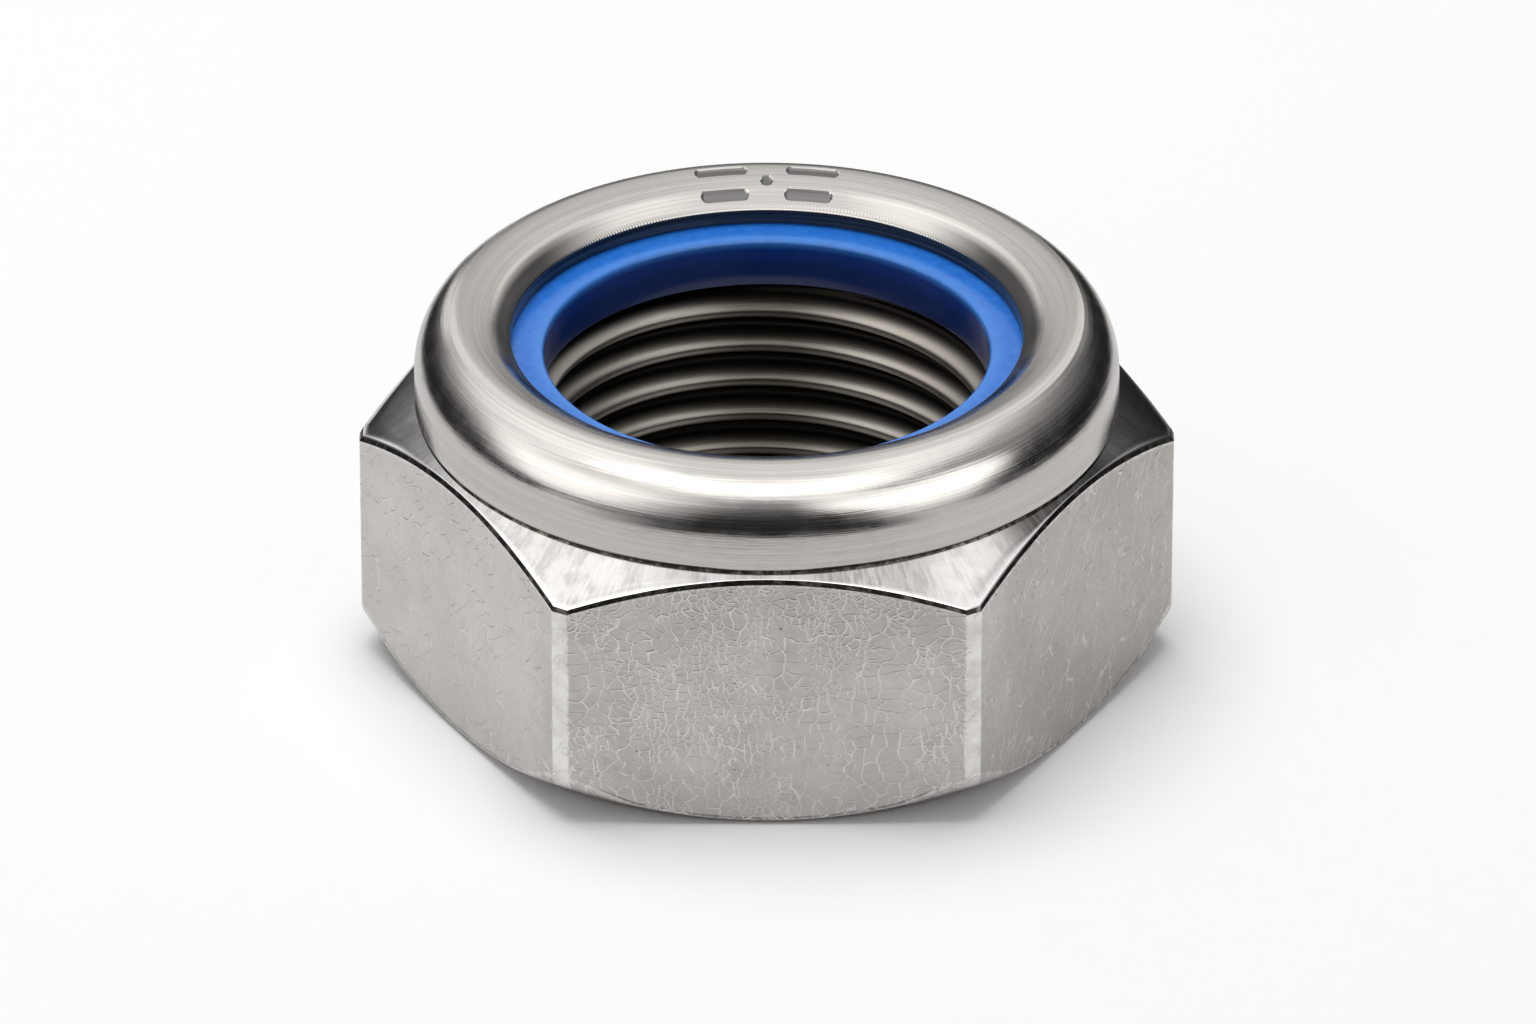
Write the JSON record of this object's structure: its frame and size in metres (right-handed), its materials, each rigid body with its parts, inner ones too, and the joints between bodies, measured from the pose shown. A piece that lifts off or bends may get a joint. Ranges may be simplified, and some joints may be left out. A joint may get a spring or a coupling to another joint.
{
  "type": "nylon insert lock nut",
  "caption": "Thin stainless steel hexagon lock nut with a rolled collar that traps a blue nylon locking ring above the thread.",
  "frame": {"origin": "on the bearing face, at the centre of the thread", "axes": "+Z along the thread's axis from the bearing face to the collar; +X through a corner of the hexagon; a flat is square to Y"},
  "size_m": [0.0308, 0.027, 0.0144],
  "materials": {
    "stainless_steel": "bare stainless steel, turned and brushed collar, pressed hexagon faces",
    "blue_nylon": "satin moulded nylon"
  },
  "bodies": {
    "root": {"nut_body": "stainless_steel", "nylon_ring": "blue_nylon"}
  },
  "joints": []
}
